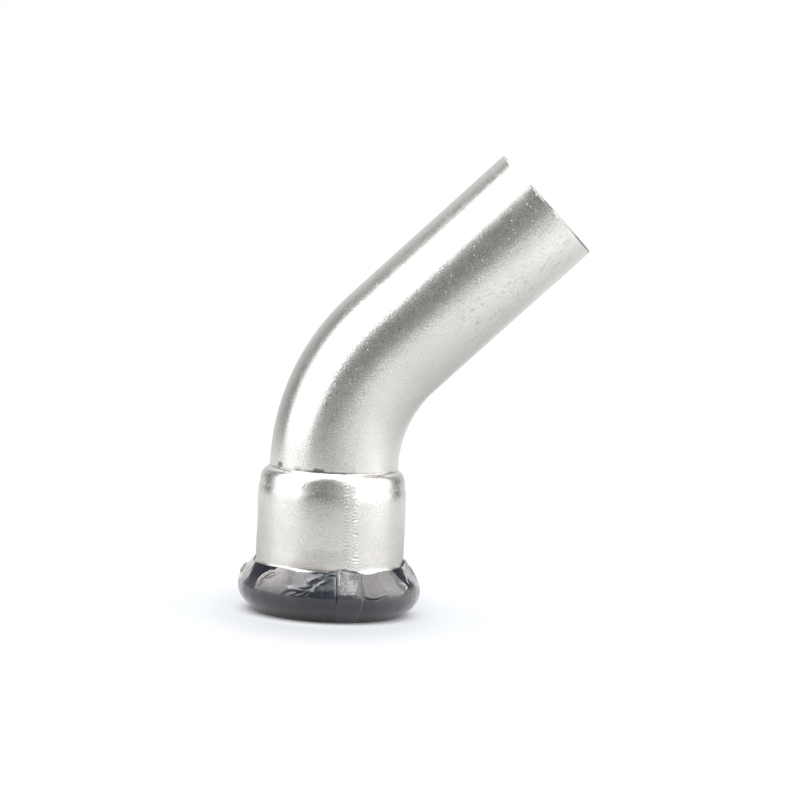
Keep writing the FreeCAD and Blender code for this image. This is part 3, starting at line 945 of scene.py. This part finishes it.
def filmShades(patches, degrees, tall):
    # what the finish reads off the film, by name
    def edge(points):
        return np.interp(tall, *zip(*(patches[points] if isinstance(points, str) else points)))

    def between(left, right, soft):
        return hump(degrees, (left - soft, left + soft), (right - soft, right + soft))

    def level(name):
        return np.interp(degrees, *zip(*patches[name]))

    # the ears and the film below them, whitened with painted sheen
    soft, backSoft = patches["earSoft"]
    ears = 1 - between(edge("earLeft"), edge("earRight"), soft) - between(*patches["earBack"], backSoft)
    soft, backSoft = patches["underSoft"]
    under = 1 - between(*patches["under"], soft) - between(*patches["underBack"], backSoft)
    under = patches["underLevel"] * np.clip(under, 0, 1) * hump(tall, *patches["underUp"])
    # patches of painted shade
    dark = {name: between(edge(left), edge(right), soft) * hump(tall, comes, goes)
            for name, (left, right, soft, comes, goes, _) in patches["dark"].items()}
    offTuck = [edge("tuckLeft") + off for off in patches["hazeSheenLeftOff"]]
    # haze with painted sheen on the film's slopes
    hazy = level("hazeSheenLeft") * ease(tall, *patches["hazeSheenLeftUp"]) * ease(degrees, *offTuck)
    hazy = (hazy + level("hazeSheenRight") * ease(tall, *patches["hazeSheenRightUp"])) * (1 - dark["right"])
    low = level("lowLeft") * (1 - ease(tall, *patches["lowLeftTop"]))
    low = low + level("lowRight") * (1 - ease(tall, *patches["lowRightTop"]))
    left, right, soft, comes, goes = patches["dull"]
    return {
        "onEar": np.maximum(np.clip(ears, 0, 1) * ease(tall, *patches["earUp"]), under),
        "green": dark["middle"],
        "darkPatch": np.clip(sum(dark[name] * patches["dark"][name][-1] for name in dark), 0, 1),
        "hazy": hazy + low * ease(tall, *patches["lowUp"]),
        "rosy": level("rosy"),
        "dull": between(left, right, soft) * hump(tall, comes, goes),
    }


def makeFilm(size, folds, patches, bodyPart):
    angles, rims, rimLifts = filmColumns(size)
    skins = []
    for far, count in ((size["gap"] + size["thickness"], size["rows"]), (size["gap"], size["innerRows"])):
        made = [filmSection(size, bodyPart, rim, rimLift, far, count) for rim, rimLift in zip(rims, rimLifts)]
        skins.append([np.stack(part, 1) for part in zip(*made)])
    (points, normals, up), (innerPoints, _, _) = skins
    tall = points[..., 1]
    degrees = np.broadcast_to(angles[None, :], up.shape)
    foldRelief, crest = filmFoldRelief(size, folds, bodyPart, angles, up)
    lift, onLap = filmLift(size, roundSocket(points, angles), degrees, tall, up)
    hemFade = ease(up - up.min(axis=0), *size["hemFade"])
    sink, sinkDegrees, sinkHeights = size["leftSink"]
    sunk = sink * ease(-degrees, *sinkDegrees) * (1 - ease(tall, *sinkHeights)) * hemFade
    lift = np.maximum((lift + foldRelief) * hemFade, size["lowest"]) - sunk
    outer = roundSocket(points + normals * lift[..., None], angles)
    everything = np.concatenate([outer, roundSocket(innerPoints, angles)[::-1]])
    mapAcross = np.append(angles, 360 - size["frontEnd"])[None, :] * np.ones((len(everything), 1))
    height = up.mean(axis=1)
    mapAlong = np.concatenate([height, np.full(len(innerPoints), size["insideAlong"]), height[:1]])
    piece = closedSkin("shrunkFilm", everything, mapAcross, mapAlong, "filmMap")
    shades = filmShades(patches, degrees, tall)
    shades.update(onLap=onLap, height=up, crest=crest)
    for name, values in shades.items():
        # the inner skin takes each column's highest value
        hidden = np.repeat(values.max(axis=0)[None, :], len(innerPoints), axis=0)
        paint(piece, name, np.concatenate([values, hidden]))
    return piece


film = makeFilm(filmSize, filmFolds, filmPatches, bodySize)
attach(film, "root")
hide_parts("indicator_film")
print("film made:", len(film.data.polygons), "faces")

filmLook = {
    "smoke": (0.016, 0.017, 0.029, 1),
    "warm": (0.022, 0.015, 0.015, 1),
    # painted shade, for the dark patches and the folds' grooves
    "deep": (0.006, 0.007, 0.016, 1),
    # the doubled film, and its painted shade low down
    "lap": (0.078, 0.072, 0.080, 1),
    "lapShadedLow": (0.038, 0.039, 0.049, 1),
    # the haze's colour, with painted sheen
    "pale": (0.33, 0.322, 0.308, 1),
    "rosy": (0.31, 0.28, 0.275, 1),
    "green": (0.022, 0.042, 0.044, 1),
    # the ears' crazing and painted sheen
    "ear": (0.58, 0.57, 0.555, 1),
    "earLine": (0.12, 0.12, 0.13, 1),
    "fleck": (0.56, 0.56, 0.56, 1),
    # painted highlight on the folds' crests
    "crest": (0.66, 0.64, 0.67, 1),
    # noises: size in mm, detail, roughness
    "cloud": (2.2, 3.0, 0.6),
    "fine": (0.35, 2.0, 0.6),
    "mottle": (0.5, 2.0, 0.6),
    "air": (0.26, 2.0, 0.7),
    "streaks": (0.7, 2.0, 0.6),
    "streakStretch": (1.0, 1.0, 0.1),
    "crazing": {"Scale": 9.0, "Distortion": 7.0, "Detail": 3.0, "Detail Scale": 8.0},
    # levels between which a mark changes, and its strength before and after
    "warmDown": (-1.0, -5.0),               # mm up from the bead's middle
    "greenClouds": (0.35, 0.6),
    "hazeSheenClouds": (0.1, 0.6, 0.6, 1.1),
    "hazeSheenMottle": (0.3, 0.7, 0.85, 1.12),
    "streaked": (0.54, 0.76, 0.0, 0.09),
    # where the doubled film's painted shade gives way
    "lapUp": (0.9, 1.4),                    # mm up from the bead's middle
    "lapRagged": 0.6,                       # how far the clouds move that
    "bubbles": (0.57, 0.66),
    "bubblesUp": (0.4, 1.2, 0.0, 0.5),
    "bubbleClouds": (0.5, 0.65, 0.0, 0.25),
    "crazed": (0.2, 0.65),
    "broken": (0.34, 0.56),
    "earCrazeAndSheen": 0.9,
    # levels of the folds' painted shade and painted highlight
    "grooves": (-0.15, -0.6),
    "crests": (0.1, 0.9),
    "uneven": (0.3, 0.7),                   # for the roughness
    "roughness": (0.30, 0.42),
    "lapRoughness": 0.1,
    "specular": 0.12,
    "coatRoughness": 0.10,
    "coatIor": 1.62,
    "uncoated": (0.88, 0.5),                # how much coat dark and dull film lacks
    "grooveUncoated": 0.9,
    # depths of the reliefs, in mm
    "fineDepth": 0.004,
    "cloudDepth": 0.02,
    "fleckDepth": 0.02,
    "crazeDepth": 0.02,
    "streakDepth": 0.012,
}


def filmBase(finish, look, cloud, mottle, streak):
    # smoky film, warmer low down, with patches of painted shade, green patches, hazy patches with painted
    # sheen, and faint upright streaks
    warmth = finish.ease(finish.read("height"), *look["warmDown"])
    colour = finish.tint(warmth, look["smoke"], look["warm"])
    # painted shade in the dark patches
    colour = finish.tint(finish.read("darkPatch"), colour, look["deep"])
    green = finish.read("green") * finish.ease(cloud, *look["greenClouds"])
    colour = finish.tint(green, colour, look["green"])
    pale = finish.tint(finish.read("rosy"), look["pale"], look["rosy"])
    # haze with painted sheen
    hazy = finish.read("hazy") * finish.ease(cloud, *look["hazeSheenClouds"])
    colour = finish.tint(hazy * finish.ease(mottle, *look["hazeSheenMottle"]), colour, pale)
    return finish.tint(finish.ease(streak, *look["streaked"]), colour, look["pale"])


def filmDoubled(finish, look, colour, cloud, air):
    # the doubled film is hazier, painted lighter above and darker low down as painted light and shade, with
    # flecks of trapped air
    onLap, height = finish.read("onLap"), finish.read("height")
    high = finish.ease(height + cloud * look["lapRagged"], *look["lapUp"])
    colour = finish.tint(onLap, colour, finish.tint(high, look["lapShadedLow"], look["lap"]))
    fleck = finish.ease(height, *look["bubblesUp"]) + finish.ease(cloud, *look["bubbleClouds"])
    fleck = fleck * finish.ease(air, *look["bubbles"]) * onLap
    return finish.tint(fleck, colour, look["fleck"]), fleck, onLap


def filmEars(finish, look, colour, fine):
    # the ears are crazed, and whitened with painted sheen
    crazing = {"Vector": finish.node("ShaderNodeUVMap", {"uv_map": "filmMap"}), **look["crazing"]}
    lines = finish.node("ShaderNodeTexWave", {"wave_type": "BANDS", "bands_direction": "X"}, crazing, out=1)
    strokes = finish.ease(lines, *look["crazed"]) * finish.ease(fine, *look["broken"])
    ear = finish.tint(strokes, look["earLine"], look["ear"])
    onEar = finish.read("onEar")
    return finish.tint(onEar * look["earCrazeAndSheen"], colour, ear), lines * onEar


def makeFilmFinish(look):
    material, finish = newMaterial("smokeFilm")
    place = finish.node("ShaderNodeTexCoord", out="Object")
    upright = finish.node("ShaderNodeVectorMath", {"operation": "MULTIPLY"},
                          {0: place, 1: look["streakStretch"]})
    streak = finish.grain(upright, *look["streaks"])
    cloud, fine, mottle, air = (finish.grain(place, *look[name])
                                for name in ("cloud", "fine", "mottle", "air"))
    colour = filmBase(finish, look, cloud, mottle, streak)
    colour, fleck, onLap = filmDoubled(finish, look, colour, cloud, air)
    # painted shade in the folds' grooves and painted highlight on their crests
    crest = finish.read("crest")
    grooved = finish.ease(crest, *look["grooves"])
    colour = finish.tint(grooved, colour, look["deep"])
    colour = finish.tint(finish.ease(crest, *look["crests"]), colour, look["crest"])
    colour, crazed = filmEars(finish, look, colour, fine)
    darkLack, dullLack = look["uncoated"]
    darkest = finish.node("ShaderNodeMath", {"operation": "MAXIMUM"},
                          {0: finish.read("darkPatch"), 1: grooved * look["grooveUncoated"]})
    relief = fine * look["fineDepth"] + cloud * look["cloudDepth"] + fleck * look["fleckDepth"]
    relief = relief + crazed * look["crazeDepth"] + streak * look["streakDepth"]
    shader = finish.node("ShaderNodeBsdfPrincipled", {}, {
        "Base Color": colour,
        "Roughness": finish.ease(fine, *look["uneven"], *look["roughness"]) + onLap * look["lapRoughness"],
        "Specular IOR Level": look["specular"],
        "Coat Weight": (1 - darkest * darkLack) * (1 - finish.read("dull") * dullLack),
        "Coat Roughness": look["coatRoughness"],
        "Coat IOR": look["coatIor"],
        "Normal": finish.relief(relief, 1.0),
    })
    finish.node("ShaderNodeOutputMaterial", {}, {"Surface": shader})
    return material


film.data.materials.append(makeFilmFinish(filmLook))

rubberLook = {
    "black": (0.018, 0.018, 0.018, 1),
    "dusty": (0.035, 0.035, 0.036, 1),
    "dust": (0.8, 3.0, 0.6),                # size in mm, detail, roughness
    "dusted": (0.4, 0.8),                   # levels of the dust between which colour and roughness change
    "roughened": (0.3, 0.8, 0.42, 0.6),
    "depth": 0.01,                          # mm
}


def makeRubber(look):
    material, finish = newMaterial("sealRubber")
    dust = finish.grain(finish.node("ShaderNodeTexCoord", out="Object"), *look["dust"])
    shader = finish.node("ShaderNodeBsdfPrincipled", {}, {
        "Base Color": finish.tint(finish.ease(dust, *look["dusted"]), look["black"], look["dusty"]),
        "Roughness": finish.ease(dust, *look["roughened"]),
        "Normal": finish.relief(dust, look["depth"]),
    })
    finish.node("ShaderNodeOutputMaterial", {}, {"Surface": shader})
    return material


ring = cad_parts["sealing_ring"]
ring.data.materials.clear()
ring.data.materials.append(makeRubber(rubberLook))
print("finishes made")

# the table and the light, in m
tableSet = {
    "x": (-1.4, 1.4),
    "y": (-0.34, 1.4),
    "middle": (0.0, 0.0, 0.0),
    "albedo": 0.62,
    "fade": (0.011, 0.019),                 # distances over which the matt surface gives way to its glow
    # as the camera sees it, with a painted shadow: how white it is under the object and beside it, and what
    # it gains further off,
    # which comes sooner to the sides than in front
    "glow": (0.0, 0.87),
    "around": (0.020, 0.042, 0.0, 0.17),
    "stretch": (1.7, 1.0, 1.0),
    "shade": (0.92, 0.945, 1.0, 1),         # tint of the painted shadow, and where it is lost
    "tinted": (0.012, 0.050),
    # painted light and shade as the metal sees it: two values of y, and how white it is at each
    "edge": (-0.34, -0.17, 0.42, 1.0),
    "front": (-0.16, -0.04, 0.65, 1.0),
    "rear": (-0.05, 0.08, 1.0, 0.66),
    "far": (0.15, 0.40, 1.0, 0.84),
    "reach": (0.06, 0.16, 1.06, 1.76),      # the same by distance
}
lampSet = {
    # name: centre, aim, width, height (m), radiance
    "leftBox": ((-0.4495, -0.250, 0.375), (0.025, -0.207, 0.218), 0.770, 0.728, 2.05),
    "rightBox": ((0.392, -0.217, 0.365), (-0.065, -0.1685, 0.17), 0.82, 0.728, 2.0),
    "topBox": ((-0.03, -0.036, 0.55), (-0.03, -0.036, 0.0), 0.70, 0.512, 4.4),
    "frontBox": ((-0.03, -0.317, 0.55), (-0.03, -0.317, 0.0), 0.70, 0.05, 1.5),
}
darkCardSet = {
    # stands in front of the object at this y; its corners' x and z
    "y": -0.45,
    "corners": ((-0.50, -0.25), (0.352, -0.25), (0.352, 0.09), (0.27, 0.15), (0.165, 0.22), (0.115, 0.34),
                (0.095, 0.45), (0.075, 0.62), (0.045, 0.75), (0.010, 0.846), (-0.06, 0.846), (-0.10, 0.75),
                (-0.17, 0.60), (-0.25, 0.45), (-0.285, 0.36), (-0.35, 0.24), (-0.41, 0.17), (-0.50, 0.13)),
    "glow": 0.245,
    "right": (-0.05, 0.22, 0.0, 0.44),      # x where it starts to brighten, where it ends, by how much
    "high": (0.30, 0.70, 0.0, 0.08),        # the same upwards
}
whiteSheetSet = {
    # stands behind the dark card
    "y": -0.47,
    "corners": ((-0.60, 0.08), (0.50, 0.08), (0.50, 0.72), (-0.60, 0.72)),
    "glow": 1.8,
}
roomSet = {
    "fill": 0.12,                           # on matt surfaces
    # as the metal sees it, by the direction's Y: where it gets whiter, and how white it is before and after
    "behind": (0.42, 1.0, 0.22, 1.06),
    # and brighter still by this much above the horizon, where the direction is behind and not far aside
    "raised": 0.9,
    "raisedAbove": (0.42, 0.54),
    "raisedBehind": (0.10, 0.30),
    "raisedAside": (0.0, 0.43, 0.07),
}


def flatPiece(name, corners):
    mesh = bpy.data.meshes.new(name)
    mesh.from_pydata(corners, [], [tuple(range(len(corners)))])
    piece = bpy.data.objects.new(name, mesh)
    bpy.context.scene.collection.objects.link(piece)
    return piece


def makeTable(size):
    (left, right), (near, far) = size["x"], size["y"]
    table = flatPiece("table", [(left, near, 0), (right, near, 0), (right, far, 0), (left, far, 0)])
    material, finish = newMaterial("whiteTable")
    camera = finish.node("ShaderNodeLightPath", out="Is Camera Ray")
    glossy = camera.also("Is Glossy Ray")
    white = (size["albedo"], size["albedo"], size["albedo"], 1)
    place = finish.node("ShaderNodeTexCoord", out="Object")
    distance = finish.node("ShaderNodeVectorMath", {"operation": "DISTANCE"},
                           {0: place, 1: size["middle"]}, out="Value")
    fade = finish.ease(distance, *size["fade"])
    matt = finish.node("ShaderNodeBsdfDiffuse", {}, {"Color": finish.tint(fade, white, (0, 0, 0, 1))})
    stretched = finish.node("ShaderNodeVectorMath", {"operation": "MULTIPLY"}, {0: place, 1: size["stretch"]})
    further = finish.node("ShaderNodeVectorMath", {"operation": "DISTANCE"},
                          {0: stretched, 1: size["middle"]}, out="Value")
    # the glow is lowered near the object as a painted shadow
    seen = finish.ease(distance, *size["fade"], *size["glow"]) + finish.ease(further, *size["around"])
    # painted light and shade on the table, as the metal sees it
    mirrored = finish.ease(distance, *size["reach"]) * fade
    backwards = finish.node("ShaderNodeSeparateXYZ", {}, {0: place}, out=1)
    for part in ("edge", "front", "rear", "far"):
        mirrored = mirrored * finish.ease(backwards, *size[part])
    # bluish tint of the painted shadow
    tint = finish.tint(finish.ease(distance, *size["tinted"]), size["shade"], (1, 1, 1, 1))
    tint = finish.node("ShaderNodeVectorMath", {"operation": "SCALE"},
                       {0: tint, "Scale": seen * camera + mirrored * glossy})
    glow = finish.node("ShaderNodeEmission", {}, {"Color": tint, "Strength": 1.0})
    both = finish.node("ShaderNodeAddShader", {}, {0: matt, 1: glow})
    finish.node("ShaderNodeOutputMaterial", {}, {"Surface": both})
    table.data.materials.append(material)


def makeMirrored(name, size, brighten):
    # a glowing card that only mirrors show
    card = flatPiece(name, [(x, size["y"], z) for x, z in size["corners"]])
    material, finish = newMaterial(name)
    level = brighten(finish, size)
    grey = finish.node("ShaderNodeCombineColor", {}, {0: level, 1: level, 2: level})
    glow = finish.node("ShaderNodeEmission", {}, {"Color": grey, "Strength": 1.0})
    finish.node("ShaderNodeOutputMaterial", {}, {"Surface": glow})
    card.data.materials.append(material)
    for sight in ("camera", "diffuse", "shadow", "transmission", "volume_scatter"):
        setattr(card, "visible_" + sight, False)


def darkLevel(finish, size):
    # the dark card brightens to the right and upwards
    aside = finish.node("ShaderNodeSeparateXYZ", {}, {0: finish.node("ShaderNodeTexCoord", out="Object")})
    return size["glow"] + finish.ease(aside, *size["right"]) + finish.ease(aside.also(2), *size["high"])


def evenLevel(finish, size):
    return size["glow"]


def makeLamp(name, centre, aim, width, height, radiance):
    lamp = bpy.data.lights.new(name, "AREA")
    lamp.shape = "RECTANGLE"
    lamp.size, lamp.size_y = width, height
    lamp.energy = radiance * math.pi * width * height
    box = bpy.data.objects.new(name, lamp)
    bpy.context.scene.collection.objects.link(box)
    box.location = centre
    box.rotation_euler = (Vector(aim) - Vector(centre)).to_track_quat("-Z", "Y").to_euler()
    box.visible_camera = False


def makeRoom(size):
    world = bpy.data.worlds.new("room")
    bpy.context.scene.world = world
    finish = Finish(world)
    camera = finish.node("ShaderNodeLightPath", out="Is Camera Ray")
    glossy, through = camera.also("Is Glossy Ray"), camera.also("Is Transmission Ray")
    white = finish.node("ShaderNodeMath", {"operation": "MAXIMUM"}, {0: camera, 1: glossy})
    white = finish.node("ShaderNodeMath", {"operation": "MAXIMUM"}, {0: white, 1: through})
    aside = finish.node("ShaderNodeSeparateXYZ", {}, {0: finish.node("ShaderNodeTexCoord", out="Generated")})
    behind, above = aside.also(1), aside.also(2)
    start, end, least, most = size["behind"]
    sky = finish.node("ShaderNodeMapRange", {}, {0: behind, 1: start, 2: end, 3: least, 4: most})
    raised = finish.ease(above, *size["raisedAbove"]) * finish.ease(behind, *size["raisedBehind"])
    sky = sky + raised * finish.band(aside, *size["raisedAside"]) * size["raised"]
    # the camera sees plain white
    sky = sky * glossy + (1 - glossy)
    level = size["fill"] + white * (sky - size["fill"])
    grey = finish.node("ShaderNodeCombineColor", {}, {0: level, 1: level, 2: level})
    light = finish.node("ShaderNodeBackground", {}, {"Color": grey, "Strength": 1.0})
    finish.node("ShaderNodeOutputWorld", {}, {"Surface": light})


makeTable(tableSet)
makeMirrored("darkCard", darkCardSet, darkLevel)
makeMirrored("whiteSheet", whiteSheetSet, evenLevel)
for lampName, lampValues in lampSet.items():
    makeLamp(lampName, *lampValues)
makeRoom(roomSet)
bpy.context.scene.view_settings.view_transform = "Standard"
print("table and light set")
